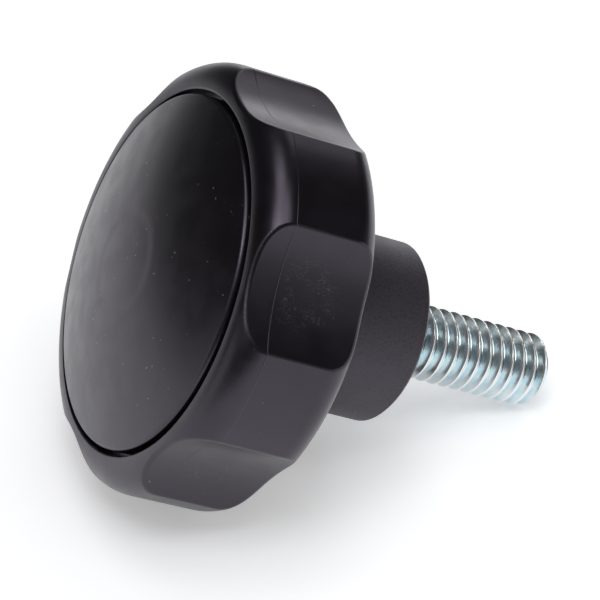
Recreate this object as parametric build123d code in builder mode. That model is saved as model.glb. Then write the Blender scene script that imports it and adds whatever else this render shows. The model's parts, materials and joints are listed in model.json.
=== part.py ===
# A lobed clamping knob with a snap-in centre cap and a threaded steel stud, in millimetres.
# The knob lies at rest: it stands on the two lobes beside one flute and on the tip of its stud.
import os
from math import asin, atan2, cos, degrees, hypot, sin, sqrt

from build123d import *

# Head of the knob, measured from its front rim backwards
head_diameter = 44.45
head_depth = 13.25
front_round = 3.2
rear_round = 3.0
rim_flat = 0.3
flute_count = 6
flute_width = 12.5
flute_depth = 2.15
flute_edge_round = 0.5

# Hub behind the head
hub_diameter = 19.05
hub_length = 13.75
hub_root_round = 0.8
hub_end_chamfer = 0.35

# Centre cap, a domed disc with a snap skirt
cap_crown = 3.3
cap_wall = 1.8
cap_proud = 0.3
cap_edge_round = 0.5
skirt_wall = 1.1
skirt_length = 2.5
snap_bead = 0.2

# Recess in the head that takes the cap
cap_gap = 0.45
rim_lip_round = 0.25
ledge_depth = 1.8
ledge_width = 0.8
lip_height = 1.2
snap_undercut = 0.45
skirt_clearance = 0.15
skirt_end_clearance = 0.3

# Cored pockets between the outer wall and the core round the stud
head_wall = 2.9
pocket_width = 5.0
pocket_floor = 2.5
rib_thickness = 2.4
core_rise = 1.4

# Stud, a 5/16 inch hexagon-headed steel screw whose rolled thread is wider than its plain shank
stud_diameter = 7.94
shank_diameter = 7.1
stud_length = 38.1
stud_reach = 19.3
tip_chamfer = 1.05
bolt_head_flats = 12.7
bolt_head_height = 5.16
bolt_head_chamfer = 0.5
bore_clearance = 0.15
hex_clearance = 0.1

# Radii and depths that follow from the sizes above
head_radius = head_diameter / 2
hub_radius = hub_diameter / 2
stud_radius = stud_diameter / 2
body_length = head_depth + hub_length
stud_tip_depth = body_length + stud_reach
stud_seat_depth = stud_tip_depth - stud_length
tip_radius = stud_radius - tip_chamfer

crest_radius = head_radius - front_round
recess_radius = crest_radius - rim_flat
cap_radius = recess_radius - cap_gap
lip_radius = recess_radius - ledge_width
undercut_radius = lip_radius + snap_undercut
undercut_start = ledge_depth + lip_height
skirt_radius = lip_radius - skirt_clearance
skirt_end = ledge_depth + skirt_length
recess_floor = skirt_end + skirt_end_clearance
core_top = recess_floor - core_rise
bead_depth = (undercut_start + skirt_end) / 2

# A flute is a straight groove whose round floor meets the lobes at two edges flute_width apart
flute_half_angle = asin(flute_width / 2 / head_radius)
flute_floor_radius = head_radius - flute_depth
flute_sagitta = head_radius * cos(flute_half_angle) - flute_floor_radius
flute_radius = ((flute_width / 2) ** 2 + flute_sagitta**2) / (2 * flute_sagitta)
flute_centre_radius = flute_floor_radius + flute_radius

pocket_outer_radius = flute_floor_radius - head_wall
core_radius = pocket_outer_radius - pocket_width
pocket_end = head_depth - pocket_floor

# Rest on a flat floor: the rear rounds of two lobes and the stud, where its tip chamfer starts,
# touch the floor together
lobe_foot_radius = (head_radius - rear_round) * cos(flute_half_angle)
lobe_foot_depth = head_depth - rear_round
stud_foot_depth = stud_tip_depth - tip_chamfer
lean_run = stud_foot_depth - lobe_foot_depth
lean_rise = lobe_foot_radius - stud_radius
tilt = atan2(lean_rise, lean_run) + asin(rear_round / hypot(lean_run, lean_rise))
floor_drop = stud_foot_depth * sin(tilt) + stud_radius * cos(tilt)

# The row's origin lies on the floor, under the middle of the knob's length
reach_ahead = stud_tip_depth * cos(tilt) + tip_radius * sin(tilt)
reach_behind = crest_radius * sin(tilt) + front_round * (1 - cos(tilt))
rim_x = (reach_behind - reach_ahead) / 2

# Plane of the front rim, with its X down through a flute and its Z along the stud
knob = Plane(
    origin=(rim_x, 0, floor_drop),
    x_dir=(-sin(tilt), 0, -cos(tilt)),
    z_dir=(cos(tilt), 0, -sin(tilt)),
)
# Lengthwise plane through a lobe for revolved profiles: local X is the radius and local Y the depth
lobe = Plane(knob.location * Location((0, 0, 0), (0, 0, 180 / flute_count)))
section = Plane(origin=knob.origin, x_dir=lobe.x_dir, z_dir=-lobe.y_dir)
stud_axis = Axis(knob.origin, knob.z_dir)


# Body of the knob: one moulding with lobes, hub, cap recess and cored pockets
with BuildPart() as knob_body:
    with BuildSketch(section) as outline:
        Rectangle(head_radius, head_depth, align=(Align.MIN, Align.MIN))
        Rectangle(hub_radius, body_length, align=(Align.MIN, Align.MIN))
        hub_corner = outline.vertices().group_by(Axis.Y)[-1].sort_by(Axis.X)[-1]
        chamfer(hub_corner, length=hub_end_chamfer)
        hub_root = outline.vertices().group_by(Axis.Y)[1].sort_by(Axis.X)[0]
        fillet(hub_root, radius=hub_root_round)
        rear_corner = outline.vertices().group_by(Axis.Y)[1].sort_by(Axis.X)[-1]
        fillet(rear_corner, radius=rear_round)
        rim_corner = outline.vertices().group_by(Axis.Y)[0].sort_by(Axis.X)[-1]
        fillet(rim_corner, radius=front_round)
    revolve(axis=stud_axis)

    # Flutes, with a small round where they break into the lobes and the rims
    with BuildSketch(knob):
        with PolarLocations(flute_centre_radius, flute_count):
            Circle(flute_radius)
    extrude(amount=head_depth, mode=Mode.SUBTRACT)
    hollow_faces = knob_body.faces().filter_by(lambda face: face.is_circular_concave)
    fillet(hollow_faces.filter_by(GeomType.CYLINDER).edges(), radius=flute_edge_round)

    # Recess for the cap, with the lip that its skirt snaps under
    with BuildSketch(knob):
        Circle(recess_radius)
    extrude(amount=ledge_depth, mode=Mode.SUBTRACT)
    rim_lip = knob_body.edges().filter_by(GeomType.CIRCLE).group_by(stud_axis)[0]
    fillet(rim_lip.sort_by(SortBy.RADIUS)[0], radius=rim_lip_round)
    with BuildSketch(knob.offset(ledge_depth)):
        Circle(lip_radius)
    extrude(amount=recess_floor - ledge_depth, mode=Mode.SUBTRACT)
    with BuildSketch(knob.offset(undercut_start)):
        Circle(undercut_radius)
    extrude(amount=recess_floor - undercut_start, mode=Mode.SUBTRACT)
    with BuildSketch(knob.offset(core_top)):
        Circle(core_radius)
    extrude(amount=core_rise)

    # Pockets behind the recess, parted by ribs that stand behind the flutes
    with BuildSketch(knob.offset(recess_floor)):
        Circle(pocket_outer_radius)
        Circle(core_radius, mode=Mode.SUBTRACT)
        with PolarLocations((core_radius + pocket_outer_radius) / 2, flute_count):
            Rectangle(2 * pocket_width, rib_thickness, mode=Mode.SUBTRACT)
    extrude(amount=pocket_end - recess_floor, mode=Mode.SUBTRACT)

    # Hexagon pocket and bore for the stud
    with BuildSketch(knob.offset(core_top)):
        RegularPolygon(bolt_head_flats / 2 + hex_clearance, 6, major_radius=False)
    extrude(amount=stud_seat_depth - core_top, mode=Mode.SUBTRACT)
    with BuildSketch(knob.offset(stud_seat_depth)):
        Circle(stud_radius + bore_clearance)
    extrude(amount=body_length - stud_seat_depth, mode=Mode.SUBTRACT)

knob_body.part.label = "knob_body"


# Centre cap: a domed disc that rests on the ledge, with a snap skirt behind it
crown_radius = (cap_radius**2 + cap_crown**2) / (2 * cap_crown)
crown_top = -cap_proud - cap_crown
under_radius = crown_radius - cap_wall
skirt_inner_radius = skirt_radius - skirt_wall
crown_centre = crown_top + crown_radius
under_edge = crown_centre - sqrt(under_radius**2 - skirt_inner_radius**2)

with BuildPart() as centre_cap:
    with BuildSketch(section) as cap_profile:
        with BuildLine():
            crown = RadiusArc((0, crown_top), (cap_radius, -cap_proud), -crown_radius)
            Polyline(
                crown @ 1,
                (cap_radius, ledge_depth),
                (skirt_radius, ledge_depth),
                (skirt_radius, skirt_end),
                (skirt_inner_radius, skirt_end),
                (skirt_inner_radius, under_edge),
            )
            under = RadiusArc(
                (skirt_inner_radius, under_edge), (0, crown_top + cap_wall), under_radius
            )
            Line(under @ 1, crown @ 0)
        make_face()
        cap_corner = cap_profile.vertices().group_by(Axis.X)[-1].sort_by(Axis.Y)[0]
        fillet(cap_corner, radius=cap_edge_round)
        with Locations((skirt_radius, bead_depth)):
            Circle(snap_bead)
    revolve(axis=stud_axis)

centre_cap.part.label = "centre_cap"


# Stud: the screw's head sits in the hexagon pocket, its plain shank runs through the bore, and its
# thread, drawn plain at the major diameter, stands out of the hub
with BuildPart() as threaded_stud:
    with BuildSketch(knob.offset(stud_seat_depth - bolt_head_height)):
        RegularPolygon(bolt_head_flats / 2, 6, major_radius=False)
    extrude(amount=bolt_head_height)
    chamfer(threaded_stud.edges().group_by(stud_axis)[0], length=bolt_head_chamfer)
    with BuildSketch(knob.offset(stud_seat_depth)):
        Circle(shank_diameter / 2)
    extrude(amount=body_length - stud_seat_depth)
    with BuildSketch(knob.offset(body_length)):
        Circle(stud_radius)
    extrude(amount=stud_reach)
    tip_edge = threaded_stud.edges().filter_by(GeomType.CIRCLE).sort_by(stud_axis)[-1]
    chamfer(tip_edge, length=tip_chamfer)

threaded_stud.part.label = "threaded_stud"


os.makedirs("parts", exist_ok=True)
export_step(knob_body.part, "parts/knob_body.step")
export_step(centre_cap.part, "parts/centre_cap.step")
export_step(threaded_stud.part, "parts/threaded_stud.step")
print(f"lies {degrees(tilt):.2f} degrees from level, front rim {floor_drop:.2f} mm over the floor")
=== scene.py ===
"""Dresses a lobed clamping knob: black moulded plastic, a domed cap and a zinc-plated screw.

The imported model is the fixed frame. The moulding keeps its own mesh and gets its finish here. The
plain cap gives way to one with a shallow round mark, and the plain stud to a screw with a true
right-hand thread. Sizes of meshes, lamps and the camera's place are in metres. Depths and radii in
the finishes are in millimetres.
"""

import json
import logging
import math
from dataclasses import dataclass
from enum import Enum
from typing import Callable

import bpy
from mathutils import Matrix, Vector


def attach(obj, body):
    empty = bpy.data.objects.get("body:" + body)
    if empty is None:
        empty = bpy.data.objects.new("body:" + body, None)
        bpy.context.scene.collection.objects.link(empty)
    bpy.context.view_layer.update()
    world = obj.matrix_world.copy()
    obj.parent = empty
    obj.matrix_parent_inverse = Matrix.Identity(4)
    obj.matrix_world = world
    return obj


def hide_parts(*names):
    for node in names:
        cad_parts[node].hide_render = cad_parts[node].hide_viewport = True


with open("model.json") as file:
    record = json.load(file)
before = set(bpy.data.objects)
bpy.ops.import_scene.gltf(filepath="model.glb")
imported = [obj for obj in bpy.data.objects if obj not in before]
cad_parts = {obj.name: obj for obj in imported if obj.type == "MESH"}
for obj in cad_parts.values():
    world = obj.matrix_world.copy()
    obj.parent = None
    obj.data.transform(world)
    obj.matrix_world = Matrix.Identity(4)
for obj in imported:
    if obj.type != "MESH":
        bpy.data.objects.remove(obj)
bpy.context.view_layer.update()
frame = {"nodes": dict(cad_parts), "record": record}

MM = 0.001
MERGE = 0.001 * MM
CUT_MERGE = MERGE / 10
BODY = "root"
SHARP = math.radians(32)
WHITE = (1.0, 1.0, 1.0)

Colour = tuple[float, float, float]
Band = tuple[float, float]
Profile = list[tuple[float, float]]
Socket = bpy.types.NodeSocket
Sockets = bpy.types.bpy_prop_collection
Piece = bpy.types.Object

log = logging.getLogger("knob")


class Node(Enum):
    """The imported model's nodes."""

    MOULDING = "knob_body"
    CAP = "centre_cap"
    STUD = "threaded_stud"


class Slot(Enum):
    """The record's material slots."""

    BODY = "body_plastic"
    CAP = "cap_plastic"
    ZINC = "zinc_steel"


@dataclass(frozen=True)
class KnobAxes:
    """The knob's own frame: its Z runs along the stud and its X down through a flute.

    Attributes:
        rim: Centre of the front rim, in the row frame.
        along: Unit direction from the head to the tip of the stud.
        hub_depth: Distance from the rim to the end face of the hub.
        tip_depth: Distance from the rim to the tip of the stud.
        seat_depth: Distance from the rim to the front of the screw's hidden head.
    """

    rim: Vector
    along: Vector
    hub_depth: float
    tip_depth: float
    seat_depth: float

    @classmethod
    def from_frame(cls) -> "KnobAxes":
        """Measures the knob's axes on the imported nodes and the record's stud mount.

        Returns:
            The axes of the knob as it lies.
        """
        mount = next(m for m in frame["record"]["mounts"] if m["name"] == "stud")
        along = Vector(mount["axis"]).normalized()
        middle = Vector(mount["pos_m"])

        def reach(node: Node, choose: Callable) -> float:
            """Depth of a node's first or last vertex along the stud."""
            vertices = frame["nodes"][node.value].data.vertices
            return choose((v.co - middle).dot(along) for v in vertices)

        front = reach(Node.MOULDING, min)
        return cls(
            rim=middle + along * front,
            along=along,
            hub_depth=reach(Node.MOULDING, max) - front,
            tip_depth=reach(Node.STUD, max) - front,
            seat_depth=reach(Node.STUD, min) - front,
        )

    def matrix(self) -> Matrix:
        """Turns the knob's own coordinates into the row frame.

        Returns:
            The matrix from the knob's frame to the row frame.
        """
        side = Vector((0, 1, 0))
        down = side.cross(self.along)
        turn = Matrix((down, side, self.along)).transposed()
        return Matrix.Translation(self.rim) @ turn.to_4x4()


class Graph:
    """Short calls for adding and joining the nodes of one node tree."""

    def __init__(self, tree: bpy.types.NodeTree) -> None:
        """Wraps a tree.

        Args:
            tree: The node tree of a material, a world or a group.
        """
        self.tree = tree

    def feed(self, socket: Socket, value: object) -> None:
        """Links a socket to an output, or sets it to a constant.

        Args:
            socket: The input to feed.
            value: An output socket, a number, a vector or a colour.
        """
        if isinstance(value, Socket):
            self.tree.links.new(value, socket)
        elif isinstance(value, (tuple, Vector)) and socket.type == "RGBA":
            socket.default_value = (*value[:3], 1)
        else:
            socket.default_value = value

    def add(self, kind: str, inputs: dict | None = None, **settings: object) -> bpy.types.Node:
        """Adds a node.

        Args:
            kind: The node's type, without the ShaderNode prefix.
            inputs: Values or sockets by input name or number.
            **settings: Properties of the node.

        Returns:
            The new node.
        """
        node = self.tree.nodes.new("ShaderNode" + kind)
        for name, value in settings.items():
            setattr(node, name, value)
        for name, value in (inputs or {}).items():
            self.feed(node.inputs[name], value)
        return node

    def math(self, operation: str, *values: object) -> Socket:
        """Result of one Math node.

        Args:
            operation: The node's operation.
            *values: One to three numbers or sockets.

        Returns:
            The node's output.
        """
        return self.add("Math", dict(enumerate(values)), operation=operation).outputs[0]

    def ramp(self, value: object, low: float, high: float, start: float = 0.0) -> Socket:
        """A smooth step to 1 while value goes from low to high, or downwards if high is less.

        Args:
            value: The socket to follow.
            low: Where the step begins.
            high: Where the step ends.
            start: Result before the step.

        Returns:
            The step's output.
        """
        inputs = {"Value": value, "From Min": low, "From Max": high, "To Min": start}
        return self.add("MapRange", inputs, interpolation_type="SMOOTHSTEP").outputs["Result"]

    def blend(self, share: object, first: object, second: object) -> Socket:
        """Colour between two colours.

        Args:
            share: 0 for the first colour, 1 for the second.
            first: A colour or socket.
            second: A colour or socket.

        Returns:
            The mixed colour.
        """
        node = self.add("Mix", {0: share}, data_type="RGBA")
        self.feed(node.inputs[6], first)
        self.feed(node.inputs[7], second)
        return node.outputs[2]

    def noise(
        self, place: object, scale: object, detail: float = 2.0, roughness: float = 0.5
    ) -> Socket:
        """Height of a noise texture, about 0.5 on average.

        Args:
            place: Coordinates in millimetres.
            scale: Features for each millimetre.
            detail: Number of octaves.
            roughness: Weight of the finer octaves.

        Returns:
            The noise value.
        """
        inputs = {"Vector": place, "Scale": scale, "Detail": detail, "Roughness": roughness}
        return self.add("TexNoise", inputs).outputs[0]


class EffectGroup:
    """A shader node group that several finishes share."""

    def __init__(self, name: str, inputs: dict[str, float | None], outputs: tuple[str, ...]) -> None:
        """Makes the group's tree and sockets.

        Args:
            name: Name of the group.
            inputs: Default value of each number input, or None for a vector input.
            outputs: Names of the number outputs.
        """
        self.tree = bpy.data.node_groups.new(name, "ShaderNodeTree")
        for label, value in inputs.items():
            kind = "NodeSocketVector" if value is None else "NodeSocketFloat"
            socket = self.tree.interface.new_socket(label, in_out="INPUT", socket_type=kind)
            if value is not None:
                socket.default_value = value
        for label in outputs:
            self.tree.interface.new_socket(label, in_out="OUTPUT", socket_type="NodeSocketFloat")
        self.graph = Graph(self.tree)
        self.given = self.tree.nodes.new("NodeGroupInput").outputs
        self.result = self.tree.nodes.new("NodeGroupOutput").inputs

    def place(self, graph: Graph, **values: object) -> bpy.types.Node:
        """Uses the group in a tree.

        Args:
            graph: The tree that gets the group.
            **values: Inputs by name, with _ for a space.

        Returns:
            The group node.
        """
        node = graph.tree.nodes.new("ShaderNodeGroup")
        node.node_tree = self.tree
        for name, value in values.items():
            graph.feed(node.inputs[name.replace("_", " ")], value)
        return node


class Effects:
    """The surface effects of the knob, each built once.

    A band is the pair of values between which a mask goes from nothing to full, and a scale is the
    number of features in a millimetre.

    Attributes:
        PIT_BAND: Band of the noise that makes the fine pits.
        PATCH_BAND: Band of the noise that makes the dull patches.
        PATCH_SCALE: Scale of the patches, where the pits have 1.
        BEND_SCALE: Scale of the noise that makes specks uneven.
        CLUSTER_SCALE: Scale of the clusters of dust.
        CLUSTER_BAND: Band of the noise that makes the clusters.
        STRAY_SHARE: Share of the dust that lies outside the clusters.
        SPECK_EDGE: Width of a speck's soft edge, in cells.
        MARK_BAND: Band of the noise that makes the rub marks.
        BREAK_SCALE: Scale of the patches that the marks come in.
        BREAK_BAND: Band of the noise that makes those patches.
    """

    PIT_BAND: Band = (0.3, 0.7)
    PATCH_BAND: Band = (0.35, 0.65)
    PATCH_SCALE: float = 0.08
    BEND_SCALE: float = 4.0
    CLUSTER_SCALE: float = 0.16
    CLUSTER_BAND: Band = (0.45, 0.62)
    STRAY_SHARE: float = 0.15
    SPECK_EDGE: float = 0.05
    MARK_BAND: Band = (0.48, 0.68)
    BREAK_SCALE: float = 1.1
    BREAK_BAND: Band = (0.38, 0.6)

    def __init__(self) -> None:
        """Builds every group."""
        self.grain = self.build_grain()
        self.dust = self.build_dust()
        self.scuffs = self.build_scuffs()

    def build_grain(self) -> EffectGroup:
        """Fine pitted grain of a moulding tool's surface.

        Returns:
            The group, with the grain's height and a mask of its duller patches.
        """
        group = EffectGroup("moulded_grain", {"Vector": None, "Scale": 5.0}, ("Height", "Patches"))
        graph, given = group.graph, group.given
        fine = graph.noise(given["Vector"], given["Scale"], detail=3.0, roughness=0.65)
        coarse_scale = graph.math("MULTIPLY", given["Scale"], self.PATCH_SCALE)
        patches = graph.noise(given["Vector"], coarse_scale, detail=3.0)
        graph.feed(group.result["Height"], graph.ramp(fine, *self.PIT_BAND))
        graph.feed(group.result["Patches"], graph.ramp(patches, *self.PATCH_BAND))
        return group

    def build_dust(self) -> EffectGroup:
        """Sparse pale specks of dust in clusters.

        Returns:
            The group, with a mask of the specks.
        """
        inputs = {"Vector": None, "Scale": 1.5, "Share": 0.1, "Radius": 0.12}
        group = EffectGroup("dust_specks", inputs, ("Mask",))
        graph, given = group.graph, group.given
        bent = graph.noise(given["Vector"], self.BEND_SCALE)
        moved = graph.add("VectorMath", {0: given["Vector"], 1: bent}, operation="ADD")
        cells = graph.add("TexVoronoi", {"Vector": moved.outputs[0], "Scale": given["Scale"]})
        lottery = graph.add("SeparateColor", {"Color": cells.outputs["Color"]})
        thickness = graph.noise(given["Vector"], self.CLUSTER_SCALE)
        gathered = graph.ramp(thickness, *self.CLUSTER_BAND, start=self.STRAY_SHARE)
        chance = graph.math("MULTIPLY", given["Share"], gathered)
        chosen = graph.math("LESS_THAN", lottery.outputs[0], chance)
        radius = graph.math("MULTIPLY", given["Radius"], lottery.outputs[1])
        inside = graph.math("SUBTRACT", radius, cells.outputs["Distance"])
        speck = graph.ramp(inside, 0.0, self.SPECK_EDGE)
        graph.feed(group.result["Mask"], graph.math("MULTIPLY", chosen, speck))
        return group

    def build_scuffs(self) -> EffectGroup:
        """Fine rub marks that come in broken patches.

        Returns:
            The group, with a mask of the marks.
        """
        group = EffectGroup("rub_marks", {"Vector": None, "Scale": 3.0}, ("Mask",))
        graph, given = group.graph, group.given
        lines = graph.noise(given["Vector"], given["Scale"], detail=4.0, roughness=0.7)
        broken = graph.noise(given["Vector"], self.BREAK_SCALE)
        sharp = graph.ramp(lines, *self.MARK_BAND)
        patch = graph.ramp(broken, *self.BREAK_BAND)
        graph.feed(group.result["Mask"], graph.math("MULTIPLY", sharp, patch))
        return group


def knob_coordinates(graph: Graph, axes: KnobAxes) -> Socket:
    """Surface coordinates in the knob's own frame, in millimetres from the rim's centre.

    Args:
        graph: The material's tree.
        axes: The knob's axes.

    Returns:
        A vector whose Z is the depth behind the front rim.
    """
    place = graph.add("TexCoord").outputs["Object"]
    inputs = {
        "Vector": place,
        "Location": axes.rim,
        "Rotation": axes.matrix().to_euler(),
        "Scale": (MM, MM, MM),
    }
    return graph.add("Mapping", inputs, vector_type="TEXTURE").outputs["Vector"]


def axis_distance(graph: Graph, part: Sockets) -> Socket:
    """Distance from the knob's axis, in millimetres.

    Args:
        graph: The material's tree.
        part: The outputs of a Separate XYZ node on the knob's coordinates.

    Returns:
        The distance.
    """
    square = graph.math("MULTIPLY_ADD", part[0], part[0], graph.math("POWER", part[1], 2.0))
    return graph.math("SQRT", square)


def new_material(name: str) -> tuple[bpy.types.Material, Graph, bpy.types.Node]:
    """A material with one Principled shader.

    Args:
        name: Name of the material.

    Returns:
        The material, its graph and its Principled node.
    """
    material = bpy.data.materials.new(name)
    material.use_nodes = True
    return material, Graph(material.node_tree), material.node_tree.nodes["Principled BSDF"]


@dataclass(frozen=True)
class Finish:
    """What the finishes have in common: duller patches and a fine grain.

    Attributes:
        roughness: Roughness of a smooth surface.
        patchiness: Roughness that the dullest patches add.
        grain_scale: Pits in a millimetre.
        grain_height: Height of the grain, in metres.
        grain_strength: Strength of the grain's bump.
    """

    roughness: float
    patchiness: float
    grain_scale: float
    grain_height: float
    grain_strength: float

    def grain(self, graph: Graph, effects: Effects, place: Socket) -> Sockets:
        """The grain's height and patches, at this finish's scale."""
        return effects.grain.place(graph, Vector=place, Scale=self.grain_scale).outputs

    def grain_bump(self, graph: Graph, height: Socket) -> Socket:
        """Normal of the grained surface, from a height of 0 to 1."""
        inputs = {"Strength": self.grain_strength, "Distance": self.grain_height, "Height": height}
        return graph.add("Bump", inputs).outputs[0]


@dataclass(frozen=True)
class BlackPlastic(Finish):
    """Satin black moulded plastic with dust on it, which the moulding and the cap share.

    Attributes:
        colour: Colour of the plastic.
        sheen_tint: Tint of the reflections.
        ior: Index of refraction.
        smooth_share: Share of the grain that a smooth surface keeps.
        dust_colour: Colour of the dust.
        dust_scale: Cells in a millimetre, each of which may hold a speck.
        dust_share: Share of the cells that hold one, in a cluster.
        dust_radius: Radius of the largest specks, in cells.
        dust_cover: How far a speck hides the plastic.
    """

    colour: Colour = (0.0045, 0.0038, 0.005)
    sheen_tint: Colour = (0.90, 0.80, 1.0)
    ior: float = 1.66
    roughness: float = 0.29
    patchiness: float = 0.05
    grain_scale: float = 4.0
    grain_height: float = 0.05 * MM
    grain_strength: float = 0.3
    smooth_share: float = 0.1
    dust_colour: Colour = (0.22, 0.21, 0.23)
    dust_scale: float = 1.2
    dust_share: float = 0.12
    dust_radius: float = 0.2
    dust_cover: float = 0.6

    def specks(self, graph: Graph, effects: Effects, place: Socket) -> Socket:
        """How far dust hides the plastic.

        Args:
            graph: The material's tree.
            effects: The shared effect groups.
            place: The knob's coordinates.

        Returns:
            The dust's cover.
        """
        sizes = {"Scale": self.dust_scale, "Share": self.dust_share, "Radius": self.dust_radius}
        dust = effects.dust.place(graph, Vector=place, **sizes)
        return graph.math("MULTIPLY", dust.outputs[0], self.dust_cover)

    def set_gloss(self, shader: bpy.types.Node) -> None:
        """Sets what is the same all over the surface on the shader itself."""
        shader.inputs["IOR"].default_value = self.ior
        shader.inputs["Specular Tint"].default_value = (*self.sheen_tint, 1)


@dataclass(frozen=True)
class BodyPlastic(BlackPlastic):
    """Finish of the moulding: duller on the hub, with a parting line and rub marks.

    Depths count from the front rim and radii from the stud's axis, both in millimetres. The first
    value of a band is where its mask is nothing, and the second is where it is full.

    Attributes:
        hub_colour: Colour of the hub's dull texture.
        hub_floor: Share of that colour in the pits of the texture.
        hub_relief: Further share of it on the texture's heights.
        hub_roughness: Roughness of the hub.
        hub_start: Depth where the hub's texture begins.
        hub_full: Depth from which it is full.
        flutes: Number of flutes round the head.
        flute_band: Radii between which the marks fade in towards a flute's floor.
        front_band: Depths between which the marks fade in.
        rear_band: Depths between which they fade out towards the rear.
        spot_depth: Depth of the middle of the clean spot in each flute.
        spot_band: Distances from that middle between which the marks fade in.
        ring_band: Distances between which the ring of marks round the spot fades out.
        ring_share: Share of the marks that lie in the ring round the spot alone.
        rub_scale: Marks in a millimetre.
        rub_squeeze: Scale along the stud against the scale across it, which draws the marks out.
        rub_cover: How far a mark hides the plastic.
        rub_roughness: Roughness that a mark adds.
        parting_depth: Depth of the parting line.
        parting_width: Half width of the parting line.
        parting_band: Radii between which the line fades in.
        parting_height: Height of the line, in metres.
        parting_strength: Strength of the line's bump.
    """

    hub_colour: Colour = (0.040, 0.037, 0.042)
    hub_floor: float = 0.4
    hub_relief: float = 1.2
    hub_roughness: float = 0.46
    hub_start: float = 13.3
    hub_full: float = 13.9
    flutes: int = 6
    flute_band: Band = (21.6, 20.6)
    front_band: Band = (3.4, 4.4)
    rear_band: Band = (12.4, 10.5)
    spot_depth: float = 6.3
    spot_band: Band = (0.7, 1.6)
    ring_band: Band = (4.2, 2.4)
    ring_share: float = 0.8
    rub_scale: float = 6.5
    rub_squeeze: float = 0.5
    rub_cover: float = 0.3
    rub_roughness: float = 0.12
    parting_depth: float = 3.25
    parting_width: float = 0.07
    parting_band: Band = (19.2, 19.6)
    parting_height: float = 0.03 * MM
    parting_strength: float = 0.6

    def rub_marks(
        self, graph: Graph, effects: Effects, place: Socket, part: Sockets, radius: Socket
    ) -> Socket:
        """Short rub marks in the flutes, thickest in a ring round a clean spot in each flute.

        Args:
            graph: The material's tree.
            effects: The shared effect groups.
            place: The knob's coordinates.
            part: Their separate parts.
            radius: Distance from the axis.

        Returns:
            The mask of the marks.
        """
        turn = graph.math("ARCTAN2", part[1], part[0])
        half = math.pi / self.flutes
        folded = graph.math("WRAP", turn, half, -half)
        across = graph.math("MULTIPLY", folded, radius)
        along = graph.math("SUBTRACT", part[2], self.spot_depth)
        off = graph.math("MULTIPLY_ADD", along, along, graph.math("POWER", across, 2.0))
        spot = graph.math("SQRT", off)
        outside = graph.ramp(spot, *self.spot_band)
        ring = graph.math("MULTIPLY", outside, graph.ramp(spot, *self.ring_band))
        front = graph.ramp(part[2], *self.front_band)
        length = graph.math("MULTIPLY", front, graph.ramp(part[2], *self.rear_band))
        flute = graph.math("MULTIPLY", graph.ramp(radius, *self.flute_band), length)
        inputs = {0: place, 1: (1.0, 1.0, self.rub_squeeze)}
        drawn_out = graph.add("VectorMath", inputs, operation="MULTIPLY").outputs[0]
        marks = effects.scuffs.place(graph, Vector=drawn_out, Scale=self.rub_scale)
        spread = graph.math("MULTIPLY_ADD", ring, self.ring_share, 1 - self.ring_share)
        shown = graph.math("MULTIPLY", flute, spread)
        return graph.math("MULTIPLY", shown, marks.outputs[0])

    def parting_line(self, graph: Graph, part: Sockets, radius: Socket) -> Socket:
        """The fine ridge that the two halves of the mould leave round the head.

        Args:
            graph: The material's tree.
            part: The separate parts of the knob's coordinates.
            radius: Distance from the axis.

        Returns:
            Height of the ridge, from 0 to 1.
        """
        away = graph.math("ABSOLUTE", graph.math("SUBTRACT", part[2], self.parting_depth))
        ridge = graph.ramp(away, self.parting_width, 0.0)
        return graph.math("MULTIPLY", ridge, graph.ramp(radius, *self.parting_band))

    def build(self, axes: KnobAxes, effects: Effects) -> bpy.types.Material:
        """Makes the material.

        Args:
            axes: The knob's axes.
            effects: The shared effect groups.

        Returns:
            The finished material.
        """
        material, graph, shader = new_material("satin_black_moulding")
        place = knob_coordinates(graph, axes)
        part = graph.add("SeparateXYZ", {"Vector": place}).outputs
        radius = axis_distance(graph, part)
        hub = graph.ramp(part[2], self.hub_start, self.hub_full)

        grain = self.grain(graph, effects, place)
        rubbed = self.rub_marks(graph, effects, place, part, radius)
        mottled = graph.math("MULTIPLY_ADD", grain["Height"], self.hub_relief, self.hub_floor)
        plain = graph.blend(graph.math("MULTIPLY", hub, mottled), self.colour, self.hub_colour)
        scuffed = graph.math("MULTIPLY", rubbed, self.rub_cover)
        pale = graph.math("MAXIMUM", scuffed, self.specks(graph, effects, place))
        graph.feed(shader.inputs["Base Color"], graph.blend(pale, plain, self.dust_colour))

        inputs = {"Value": hub, "To Min": self.roughness, "To Max": self.hub_roughness}
        rough = graph.add("MapRange", inputs).outputs[0]
        patchy = graph.math("MULTIPLY_ADD", grain["Patches"], self.patchiness, rough)
        dulled = graph.math("MULTIPLY_ADD", rubbed, self.rub_roughness, patchy)
        graph.feed(shader.inputs["Roughness"], dulled)

        texture = graph.math("MULTIPLY_ADD", hub, 1 - self.smooth_share, self.smooth_share)
        fine = graph.math("MULTIPLY", grain["Height"], texture)
        inputs = {
            "Strength": self.parting_strength,
            "Distance": self.parting_height,
            "Height": self.parting_line(graph, part, radius),
            "Normal": self.grain_bump(graph, fine),
        }
        graph.feed(shader.inputs["Normal"], graph.add("Bump", inputs).outputs[0])
        self.set_gloss(shader)
        return material


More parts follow.
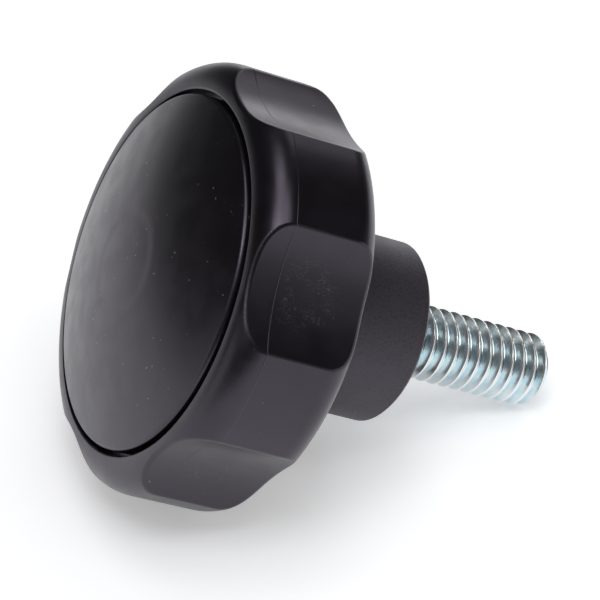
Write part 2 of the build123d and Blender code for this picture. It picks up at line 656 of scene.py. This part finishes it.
@dataclass(frozen=True)
class CapPlastic(BlackPlastic):
    """Finish of the cap, which has a finer grain than the moulding and more and paler dust."""

    grain_scale: float = 5.0
    grain_strength: float = 0.12
    smooth_share: float = 0.25
    dust_colour: Colour = (0.42, 0.41, 0.44)
    dust_scale: float = 1.8
    dust_share: float = 0.3
    dust_radius: float = 0.24
    dust_cover: float = 0.5

    def build(self, axes: KnobAxes, effects: Effects) -> bpy.types.Material:
        """Makes the material.

        Args:
            axes: The knob's axes.
            effects: The shared effect groups.

        Returns:
            The finished material.
        """
        material, graph, shader = new_material("satin_black_cap")
        place = knob_coordinates(graph, axes)
        grain = self.grain(graph, effects, place)
        specks = self.specks(graph, effects, place)
        graph.feed(shader.inputs["Base Color"], graph.blend(specks, self.colour, self.dust_colour))
        patchy = graph.math("MULTIPLY_ADD", grain["Patches"], self.patchiness, self.roughness)
        graph.feed(shader.inputs["Roughness"], patchy)
        fine = graph.math("MULTIPLY", grain["Height"], self.smooth_share)
        graph.feed(shader.inputs["Normal"], self.grain_bump(graph, fine))
        self.set_gloss(shader)
        return material


@dataclass(frozen=True)
class ZincPlate(Finish):
    """Bright blue-white zinc plating.

    Attributes:
        cool: Colour where the passivation looks blue.
        warm: Colour where it is thinner.
        tint_scale: Patches of either colour in a millimetre.
        tint_band: Band of the noise between the two colours.
        burnished: Colour of the rubbed crests.
        crest: Radius in millimetres from which the thread is rubbed bright.
        crest_fade: How far below that radius the rubbing begins.
    """

    cool: Colour = (0.67, 0.82, 0.88)
    warm: Colour = (0.80, 0.88, 0.90)
    tint_scale: float = 0.9
    tint_band: Band = (0.35, 0.65)
    burnished: Colour = (0.96, 0.95, 0.91)
    crest: float = 3.93
    crest_fade: float = 0.06
    roughness: float = 0.23
    patchiness: float = 0.03
    grain_scale: float = 9.0
    grain_height: float = 0.02 * MM
    grain_strength: float = 0.05

    def build(self, axes: KnobAxes, effects: Effects) -> bpy.types.Material:
        """Makes the material.

        Args:
            axes: The knob's axes.
            effects: The shared effect groups.

        Returns:
            The finished material.
        """
        material, graph, shader = new_material("bright_zinc")
        place = knob_coordinates(graph, axes)
        grain = self.grain(graph, effects, place)
        tint = graph.ramp(graph.noise(place, self.tint_scale, detail=3.0), *self.tint_band)
        radius = axis_distance(graph, graph.add("SeparateXYZ", {"Vector": place}).outputs)
        rubbed = graph.ramp(radius, self.crest - self.crest_fade, self.crest)
        plated = graph.blend(tint, self.cool, self.warm)
        graph.feed(shader.inputs["Base Color"], graph.blend(rubbed, plated, self.burnished))
        patchy = graph.math("MULTIPLY_ADD", grain["Patches"], self.patchiness, self.roughness)
        graph.feed(shader.inputs["Roughness"], patchy)
        graph.feed(shader.inputs["Normal"], self.grain_bump(graph, grain["Height"]))
        shader.inputs["Metallic"].default_value = 1.0
        return material


def clear_selection() -> None:
    """Leaves object mode's selection empty."""
    if bpy.context.mode != "OBJECT":
        bpy.ops.object.mode_set(mode="OBJECT")
    bpy.ops.object.select_all(action="DESELECT")


def pick(piece: Piece) -> None:
    """Makes one object the active and only selected one.

    Args:
        piece: The object.
    """
    clear_selection()
    piece.select_set(True)
    bpy.context.view_layer.objects.active = piece


def select_edges(piece: Piece, wanted: Callable[[Vector], bool]) -> None:
    """Selects the edges of an object whose two ends both pass a test, and nothing else.

    Args:
        piece: The object, in object mode.
        wanted: The test of a vertex's place.
    """
    pick(piece)
    bpy.ops.object.mode_set(mode="EDIT")
    bpy.ops.mesh.select_mode(type="EDGE")
    bpy.ops.mesh.select_all(action="DESELECT")
    bpy.ops.object.mode_set(mode="OBJECT")
    vertices = piece.data.vertices
    for edge in piece.data.edges:
        edge.select = all(wanted(vertices[v].co) for v in edge.vertices)


def edge_path(name: str, points: Profile) -> Piece:
    """A chain of edges in the plane through the Z axis, drawn by extruding one vertex.

    Args:
        name: Name of the new object.
        points: Radius and height of each point.

    Returns:
        The chain's object.
    """
    clear_selection()
    bpy.ops.mesh.primitive_plane_add(size=MM, location=(0, 0, 0))
    path = bpy.context.active_object
    path.name = path.data.name = name
    bpy.ops.object.mode_set(mode="EDIT")
    bpy.ops.mesh.select_all(action="SELECT")
    bpy.ops.mesh.merge(type="CENTER")
    bpy.ops.transform.translate(value=(points[0][0], 0, points[0][1]))
    for here, there in zip(points, points[1:]):
        move = (there[0] - here[0], 0, there[1] - here[1])
        bpy.ops.mesh.extrude_vertices_move(TRANSFORM_OT_translate={"value": move})
    bpy.ops.object.mode_set(mode="OBJECT")
    return path


def turn_path(path: Piece, steps: int, rise: float = 0.0, turns: int = 1) -> None:
    """Turns a chain of edges round the Z axis into a closed skin or a helix.

    Args:
        path: The chain's object.
        steps: Segments round one turn.
        rise: Height gained in each turn.
        turns: Number of turns.
    """
    apply_modifier(
        path,
        "SCREW",
        axis="Z",
        angle=2 * math.pi,
        screw_offset=rise,
        iterations=turns,
        steps=steps,
        render_steps=steps,
        use_merge_vertices=True,
        merge_threshold=MERGE,
    )
    bpy.ops.object.mode_set(mode="EDIT")
    bpy.ops.mesh.select_all(action="SELECT")
    bpy.ops.mesh.remove_doubles(threshold=MERGE)
    bpy.ops.mesh.normals_make_consistent(inside=False)
    bpy.ops.object.mode_set(mode="OBJECT")


def combine(piece: Piece, other: Piece, operation: str) -> None:
    """Joins or trims one solid by another, which is used up.

    Args:
        piece: The solid that stays.
        other: The solid that goes.
        operation: INTERSECT, UNION or DIFFERENCE.
    """
    apply_modifier(piece, "BOOLEAN", object=other, operation=operation, solver="MANIFOLD")
    bpy.data.objects.remove(other)


def arc(
    centre: tuple[float, float], radius: float, start: float, end: float, count: int
) -> Profile:
    """Points along an arc in the plane through the Z axis.

    Args:
        centre: Radius and height of the arc's centre.
        radius: The arc's radius.
        start: Angle of the first point in degrees, from the outward direction towards +Z.
        end: Angle of the last point in degrees.
        count: Number of segments.

    Returns:
        Radius and height of each point.
    """
    angles = [math.radians(start + (end - start) * i / count) for i in range(count + 1)]
    return [(centre[0] + radius * math.cos(a), centre[1] + radius * math.sin(a)) for a in angles]


def apply_modifier(piece: Piece, kind: str, **settings: object) -> None:
    """Adds a modifier and applies it.

    Args:
        piece: The object to change.
        kind: The modifier's type.
        **settings: Its properties.
    """
    pick(piece)
    modifier = piece.modifiers.new(kind.lower(), kind)
    for name, value in settings.items():
        setattr(modifier, name, value)
    bpy.ops.object.modifier_apply(modifier=modifier.name)


@dataclass(frozen=True)
class DomedCap:
    """The snap-in cap: a domed disc with a skirt, and a shallow round mark at its top.

    Depths count from the front rim, backwards.

    Attributes:
        radius: Radius of the disc.
        crown: Height of the dome over the disc's edge.
        proud: How far the disc's edge stands in front of the rim.
        edge_round: Radius of the rounded edge.
        wall: Thickness of the dome.
        ledge_depth: Depth of the ledge that the disc rests on.
        skirt_radius: Outer radius of the skirt.
        skirt_wall: Thickness of the skirt.
        skirt_end: Depth of the end of the skirt.
        bead_depth: Depth of the snap bead's middle.
        bead: Radius of the snap bead.
        mark_radius: Outer radius of the shallow round mark at the top of the dome.
        mark_flat: Radius inside which the mark has its full depth.
        mark_depth: Depth of the mark.
        steps: Segments round the cap.
        rings: Segments from the middle of the dome to its edge.
        edge_steps: Segments across the rounded edge.
        bead_steps: Segments across the snap bead.
    """

    radius: float = 18.275 * MM
    crown: float = 3.3 * MM
    proud: float = 0.3 * MM
    edge_round: float = 0.5 * MM
    wall: float = 1.8 * MM
    ledge_depth: float = 1.8 * MM
    skirt_radius: float = 17.775 * MM
    skirt_wall: float = 1.1 * MM
    skirt_end: float = 4.3 * MM
    bead_depth: float = 3.65 * MM
    bead: float = 0.2 * MM
    mark_radius: float = 6.0 * MM
    mark_flat: float = 4.6 * MM
    mark_depth: float = 0.03 * MM
    steps: int = 160
    rings: int = 72
    edge_steps: int = 8
    bead_steps: int = 6

    @property
    def sphere(self) -> float:
        """Radius of the dome's sphere."""
        return (self.radius**2 + self.crown**2) / (2 * self.crown)

    @property
    def centre(self) -> float:
        """Depth of the middle of the dome's sphere."""
        return self.sphere - self.proud - self.crown

    def dome(self, start: float, end: float, sphere: float) -> Profile:
        """Points along a dome.

        Args:
            start: Radius of the first point.
            end: Radius of the last point.
            sphere: Radius of the dome's sphere.

        Returns:
            Radius and depth of each point.
        """
        radii = [start + (end - start) * i / self.rings for i in range(self.rings + 1)]
        return [(r, self.centre - math.sqrt(sphere**2 - r**2)) for r in radii]

    def sink(self, radius: float) -> float:
        """Depth of the round mark at a radius."""
        share = min(max((radius - self.mark_flat) / (self.mark_radius - self.mark_flat), 0.0), 1.0)
        return self.mark_depth * (1 + math.cos(math.pi * share)) / 2

    def outline(self) -> Profile:
        """Section of the cap from the top of the dome to the middle of its underside.

        Returns:
            Radius and depth of each point.
        """
        inner = self.radius - self.edge_round
        reach = self.sphere - self.edge_round
        lean = math.acos(inner / reach)
        start = self.sphere * math.cos(lean)
        front = [(r, depth + self.sink(r)) for r, depth in self.dome(0, start, self.sphere)]
        middle = (inner, self.centre - reach * math.sin(lean))
        edge = arc(middle, self.edge_round, -math.degrees(lean), 0, self.edge_steps)
        skirt = self.skirt_radius
        hollow = skirt - self.skirt_wall
        bead = arc((skirt, self.bead_depth), self.bead, -90, 90, self.bead_steps)
        corners = [(self.radius, self.ledge_depth), (skirt, self.ledge_depth), *bead]
        corners += [(skirt, self.skirt_end), (hollow, self.skirt_end)]
        return front + edge[1:] + corners + self.dome(hollow, 0, self.sphere - self.wall)

    def build(self, axes: KnobAxes) -> Piece:
        """The cap in its place in the knob.

        Args:
            axes: The knob's axes.

        Returns:
            The finished object, with its place in its mesh.
        """
        cap = edge_path("domed_cap", self.outline())
        turn_path(cap, self.steps)
        cap.data.transform(axes.matrix())
        pick(cap)
        bpy.ops.object.shade_smooth_by_angle(angle=SHARP)
        return cap


@dataclass(frozen=True)
class MachineScrew:
    """The hexagon-headed screw that the knob holds, with a right-hand 5/16-18 thread.

    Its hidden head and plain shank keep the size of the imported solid.

    Attributes:
        crest_radius: Radius over the plated crests.
        pitch: Distance between neighbouring crests.
        crest_flat: Width of a crest.
        crest_round: Radius of the rounded edges of a crest.
        root_round: Radius of the rounded bottom of the groove.
        thread_depth: Height of a crest over the root.
        flank: Angle of a flank to the cross-section, in degrees.
        run_in: Length of thread hidden in the bore of the hub.
        shank_radius: Radius of the plain shank.
        chamfer: Length and depth of the chamfer at the tip.
        head_flats: Distance across the flats of the head.
        head_height: Height of the head.
        head_chamfer: Chamfer round the top of the head.
        head_sides: Number of sides of the head.
        clearance: How far the bar that trims the thread stands clear of the crests.
        overlap: How far the shank runs into the head before the two are joined.
        steps: Segments round one turn.
        root_steps: Segments across half of a groove's bottom.
        crest_steps: Segments across one edge of a crest.
    """

    crest_radius: float = 3.95 * MM
    pitch: float = 25.4 / 18 * MM
    crest_flat: float = 0.15 * MM
    crest_round: float = 0.07 * MM
    root_round: float = 0.19 * MM
    thread_depth: float = 0.84 * MM
    flank: float = 30.0
    run_in: float = 1.6 * MM
    shank_radius: float = 3.55 * MM
    chamfer: float = 1.05 * MM
    head_flats: float = 12.7 * MM
    head_height: float = 5.16 * MM
    head_chamfer: float = 0.5 * MM
    head_sides: int = 6
    clearance: float = 0.02 * MM
    overlap: float = MM
    steps: int = 96
    root_steps: int = 4
    crest_steps: int = 3

    def profile(self) -> Profile:
        """One pitch of the thread, from one root to the next.

        Returns:
            Radius and height of each point.
        """
        root = (self.crest_radius - self.thread_depth + self.root_round, 0.0)
        valley = arc(root, self.root_round, 180, 90 + self.flank, self.root_steps)
        lift = self.crest_round * math.tan(math.radians(90 - self.flank) / 2)
        corner = (self.crest_radius - self.crest_round, self.pitch / 2 - self.crest_flat / 2 + lift)
        crest = arc(corner, self.crest_round, self.flank - 90, 0, self.crest_steps)
        half = valley + crest
        return half + [(radius, self.pitch - along) for radius, along in reversed(half)]

    def cut_square(self, thread: Piece, height: float, keep_above: bool) -> None:
        """Cuts the thread square to its axis and closes the cut.

        Args:
            thread: The thread's object.
            height: Where the cut lies along Z.
            keep_above: Whether the part above the cut stays.
        """
        pick(thread)
        bpy.ops.object.mode_set(mode="EDIT")
        bpy.ops.mesh.select_all(action="SELECT")
        bpy.ops.mesh.bisect(
            plane_co=(0, 0, height),
            plane_no=(0, 0, 1),
            use_fill=True,
            clear_inner=keep_above,
            clear_outer=not keep_above,
            threshold=CUT_MERGE,
        )
        bpy.ops.mesh.select_all(action="SELECT")
        bpy.ops.mesh.normals_make_consistent(inside=False)
        bpy.ops.object.mode_set(mode="OBJECT")

    def blank(self, radius: float, start: float, end: float, sides: int, bevel: float) -> Piece:
        """A round or hexagonal bar round the Z axis, plain at its start and chamfered at its end.

        Args:
            radius: Radius to the corners.
            start: Place of the plain end along Z.
            end: Place of the chamfered end, above or below the start.
            sides: Number of sides.
            bevel: Size of the chamfer, or 0 for none.

        Returns:
            The bar's object.
        """
        clear_selection()
        bpy.ops.mesh.primitive_cylinder_add(
            vertices=sides, radius=radius, depth=abs(end - start), location=(0, 0, (start + end) / 2)
        )
        bar = bpy.context.active_object
        bpy.ops.object.transform_apply(location=True, rotation=False, scale=False)
        if bevel:
            select_edges(bar, lambda place: abs(place.z - end) < MERGE)
            bpy.ops.object.mode_set(mode="EDIT")
            bpy.ops.mesh.bevel(offset=bevel, segments=1, affect="EDGES")
            bpy.ops.object.mode_set(mode="OBJECT")
        return bar

    def build(self, axes: KnobAxes) -> Piece:
        """The whole screw in its place in the knob.

        Args:
            axes: The knob's axes.

        Returns:
            The finished object, with its place in its mesh.
        """
        low, high = axes.hub_depth - self.run_in, axes.tip_depth
        # A spare turn at each end, which the square cuts take off
        spare = 2
        turns = math.ceil((high - low) / self.pitch) + spare
        start = [(radius, along + low - self.pitch) for radius, along in self.profile()]
        screw = edge_path("zinc_screw", start)
        turn_path(screw, self.steps, self.pitch, turns)
        self.cut_square(screw, low, keep_above=True)
        self.cut_square(screw, high, keep_above=False)
        clear = self.crest_radius + self.clearance
        trim = self.blank(clear, low - self.pitch, high, self.steps, self.chamfer)
        combine(screw, trim, "INTERSECT")

        seat = axes.seat_depth + self.head_height
        shank = self.blank(self.shank_radius, seat - self.overlap, low + self.pitch, self.steps, 0)
        combine(screw, shank, "UNION")
        half_side = math.pi / self.head_sides
        corner = self.head_flats / 2 / math.cos(half_side)
        head = self.blank(corner, seat, axes.seat_depth, self.head_sides, self.head_chamfer)
        head.data.transform(Matrix.Rotation(half_side, 4, "Z"))
        combine(screw, head, "UNION")

        screw.data.transform(axes.matrix())
        pick(screw)
        bpy.ops.object.shade_smooth_by_angle(angle=SHARP)
        return screw


@dataclass(frozen=True)
class SoftBox:
    """A rectangular studio lamp that faces the object.

    Attributes:
        name: What the lamp does.
        heading: Direction of the lamp in degrees, from +X towards +Y.
        rise: Its height above the floor in degrees.
        width: Its width, along the floor.
        height: Its other side.
        radiance: Its brightness, where 1 is white.
    """

    name: str
    heading: float
    rise: float
    width: float
    height: float
    radiance: float

    def build(self, aim: Vector, distance: float) -> Piece:
        """Adds the lamp.

        Args:
            aim: The point that the lamp faces.
            distance: Its distance from that point.

        Returns:
            The lamp's object.
        """
        turn, lift = math.radians(self.heading), math.radians(self.rise)
        level = math.cos(lift)
        away = Vector((level * math.cos(turn), level * math.sin(turn), math.sin(lift)))
        bpy.ops.object.light_add(type="AREA", location=aim + away * distance)
        lamp = bpy.context.active_object
        lamp.name = self.name
        lamp.rotation_euler = (-away).to_track_quat("-Z", "Y").to_euler()
        lamp.visible_camera = False
        lamp.data.shape = "RECTANGLE"
        lamp.data.size, lamp.data.size_y = self.width, self.height
        lamp.data.energy = self.radiance * math.pi * self.width * self.height
        return lamp


@dataclass(frozen=True)
class Studio:
    """The floor, lamps and camera round the knob.

    Attributes:
        aim: The point of the knob that the middle of the picture shows.
        heading: Direction that the camera looks in, in degrees from +X towards +Y.
        fall: How far the camera looks down, in degrees.
        distance: Distance of the camera from the aim.
        lens: Focal length of the camera in millimetres.
        sensor: Width of its sensor in millimetres.
        near: Distance from which the camera sees.
        floor_size: Side of the square floor.
        floor_colour: Colour of the floor.
        lift: White that the camera and mirrors see on the floor, over its own light.
        painted_shadow_share: Share of the white that a painted shadow takes in the closest corners
            under the knob.
        painted_shadow_reach: Distance over which the painted shadow fades out.
        painted_shadow_samples: Rays that look for the knob from each point of the floor, to place
            the painted shadow.
        gloom: Brightness of the studio behind the lamps.
        reach: Distance of the lamps from the aim.
    """

    aim: tuple[float, float, float] = (-1.45 * MM, 0.0, 17.52 * MM)
    heading: float = 72.33
    fall: float = 33.95
    distance: float = 334.3 * MM
    lens: float = 197.1
    sensor: float = 36.0
    near: float = 10.0 * MM
    floor_size: float = 3.0
    floor_colour: Colour = (0.85, 0.86, 0.885)
    lift: float = 0.62
    painted_shadow_share: float = 0.5
    painted_shadow_reach: float = 22.0 * MM
    painted_shadow_samples: int = 8
    gloom: float = 0.035
    reach: float = 0.6

    def lamps(self) -> list[SoftBox]:
        """Soft boxes all round the knob, in three rows and one overhead.

        Returns:
            The lamps that light everything.
        """
        low, middle, high = (0.30, 0.16), (0.34, 0.24), (0.28, 0.22)
        return [
            SoftBox("low_front", -60.0, 8.0, *low, 0.32),
            SoftBox("low_right", -30.0, 8.0, *low, 0.96),
            SoftBox("low_back", 60.0, 8.0, *low, 1.83),
            SoftBox("low_left", 180.0, 8.0, *low, 0.79),
            SoftBox("middle_left", -150.0, 34.0, *middle, 0.59),
            SoftBox("middle_back", 45.0, 34.0, *middle, 1.01),
            SoftBox("high_left", -120.0, 62.0, *high, 4.64),
            SoftBox("high_right", -60.0, 62.0, *high, 2.16),
            SoftBox("overhead", 0.0, 89.0, 0.26, 0.26, 2.10),
        ]

    def screw_cards(self) -> list[SoftBox]:
        """Small white cards for the bright screw.

        Returns:
            The lamps that light the screw alone.
        """
        size = (0.16, 0.14)
        return [
            SoftBox("card_high_back", 105.0, 57.0, *size, 6.8),
            SoftBox("card_back", 120.0, 27.0, *size, 2.6),
            SoftBox("card_high_left", 180.0, 42.0, *size, 4.3),
            SoftBox("card_left", -165.0, 27.0, *size, 4.8),
            SoftBox("card_low_left", -165.0, 12.0, *size, 3.4),
        ]

    def build_camera(self) -> None:
        """Adds the camera and makes it the scene's own."""
        turn, drop = math.radians(self.heading), math.radians(self.fall)
        level = math.cos(drop)
        look = Vector((level * math.cos(turn), level * math.sin(turn), -math.sin(drop)))
        bpy.ops.object.camera_add(location=Vector(self.aim) - look * self.distance)
        camera = bpy.context.active_object
        camera.rotation_euler = look.to_track_quat("-Z", "Y").to_euler()
        camera.data.lens = self.lens
        camera.data.sensor_width = self.sensor
        camera.data.clip_start = self.near
        bpy.context.scene.camera = camera

    def build_floor(self) -> None:
        """Adds the pale floor, which keeps the knob's shadow from the lamps and has a painted shadow
        under it.
        """
        clear_selection()
        bpy.ops.mesh.primitive_plane_add(size=self.floor_size, location=(0, 0, 0))
        floor = bpy.context.active_object
        floor.name = "floor"
        material, graph, shader = new_material("white_floor")
        shader.inputs["Base Color"].default_value = (*self.floor_colour, 1)
        shader.inputs["Roughness"].default_value = 1.0
        shader.inputs["Specular IOR Level"].default_value = 0.0
        path = graph.add("LightPath").outputs
        seen = graph.math("MAXIMUM", path["Is Camera Ray"], path["Is Glossy Ray"])
        shown = graph.math("MAXIMUM", seen, path["Is Transmission Ray"])
        # Painted shadow: ambient occlusion dims the floor's white glow close under the knob, as the
        # camera and the knob's reflections see it.
        inputs = {"Distance": self.painted_shadow_reach}
        openness = graph.add("AmbientOcclusion", inputs, samples=self.painted_shadow_samples).outputs["AO"]
        painted_shadow_factor = graph.math("MULTIPLY_ADD", openness, self.painted_shadow_share, 1 - self.painted_shadow_share)
        glow = graph.math("MULTIPLY", graph.math("MULTIPLY", shown, self.lift), painted_shadow_factor)
        graph.feed(shader.inputs["Emission Strength"], glow)
        shader.inputs["Emission Color"].default_value = (*WHITE, 1)
        floor.data.materials.append(material)

    def build_world(self) -> None:
        """Gives the world its white background and the dim studio behind the lamps."""
        world = bpy.data.worlds.new("studio")
        bpy.context.scene.world = world
        world.use_nodes = True
        graph = Graph(world.node_tree)
        seen = graph.add("LightPath").outputs["Is Camera Ray"]
        background = world.node_tree.nodes["Background"].inputs["Color"]
        graph.feed(background, graph.blend(seen, (self.gloom,) * 3, WHITE))

    def build(self, screw: Piece) -> None:
        """Builds the whole studio.

        Args:
            screw: The bright screw, which has cards of its own.
        """
        self.build_camera()
        self.build_floor()
        self.build_world()
        for lamp in self.lamps():
            lamp.build(Vector(self.aim), self.reach)
        mirrored = bpy.data.collections.new("mirrored_cards")
        mirrored.objects.link(screw)
        for card in self.screw_cards():
            links = card.build(Vector(self.aim), self.reach).light_linking
            links.receiver_collection = links.blocker_collection = mirrored
        bpy.context.scene.view_settings.view_transform = "Standard"


class Knob:
    """The dressed knob, piece by piece."""

    def __init__(self, axes: KnobAxes, effects: Effects) -> None:
        """Keeps what the pieces share.

        Args:
            axes: The knob's axes.
            effects: The shared effect groups.
        """
        self.axes = axes
        self.effects = effects

    def dress(self, node: Node, material: bpy.types.Material) -> Piece:
        """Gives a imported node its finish.

        Args:
            node: The node to dress.
            material: Its material.

        Returns:
            The node's object.
        """
        piece = frame["nodes"][node.value]
        piece.data.materials.clear()
        piece.data.materials.append(material)
        return piece

    def build_cap(self, finish: CapPlastic) -> Piece:
        """Replaces the plain cap with one that has its round mark.

        Args:
            finish: The cap's finish.

        Returns:
            The cap's object.
        """
        cap = DomedCap().build(self.axes)
        cap.data.materials.append(finish.build(self.axes, self.effects))
        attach(cap, BODY)
        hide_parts(Node.CAP.value)
        return cap

    def build_stud(self, finish: ZincPlate) -> Piece:
        """Replaces the plain stud with the threaded screw.

        Args:
            finish: The screw's finish.

        Returns:
            The screw's object.
        """
        screw = MachineScrew().build(self.axes)
        screw.data.materials.clear()
        screw.data.materials.append(finish.build(self.axes, self.effects))
        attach(screw, BODY)
        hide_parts(Node.STUD.value)
        return screw

    def build(self) -> list[Piece]:
        """Builds and dresses every piece.

        Returns:
            The moulding, the cap and the screw.
        """
        return [
            self.dress(Node.MOULDING, BodyPlastic().build(self.axes, self.effects)),
            self.build_cap(CapPlastic()),
            self.build_stud(ZincPlate()),
        ]


def main() -> None:
    """Builds the knob and the studio round it, and reports each piece."""
    logging.basicConfig(level=logging.INFO, format="%(name)s: %(message)s")
    pieces = Knob(KnobAxes.from_frame(), Effects()).build()
    screw = pieces[-1]
    Studio().build(screw)
    for piece in pieces:
        piece.data.calc_loop_triangles()
        log.info("%s has %d triangles", piece.name, len(piece.data.loop_triangles))


if __name__ == "__main__":
    main()
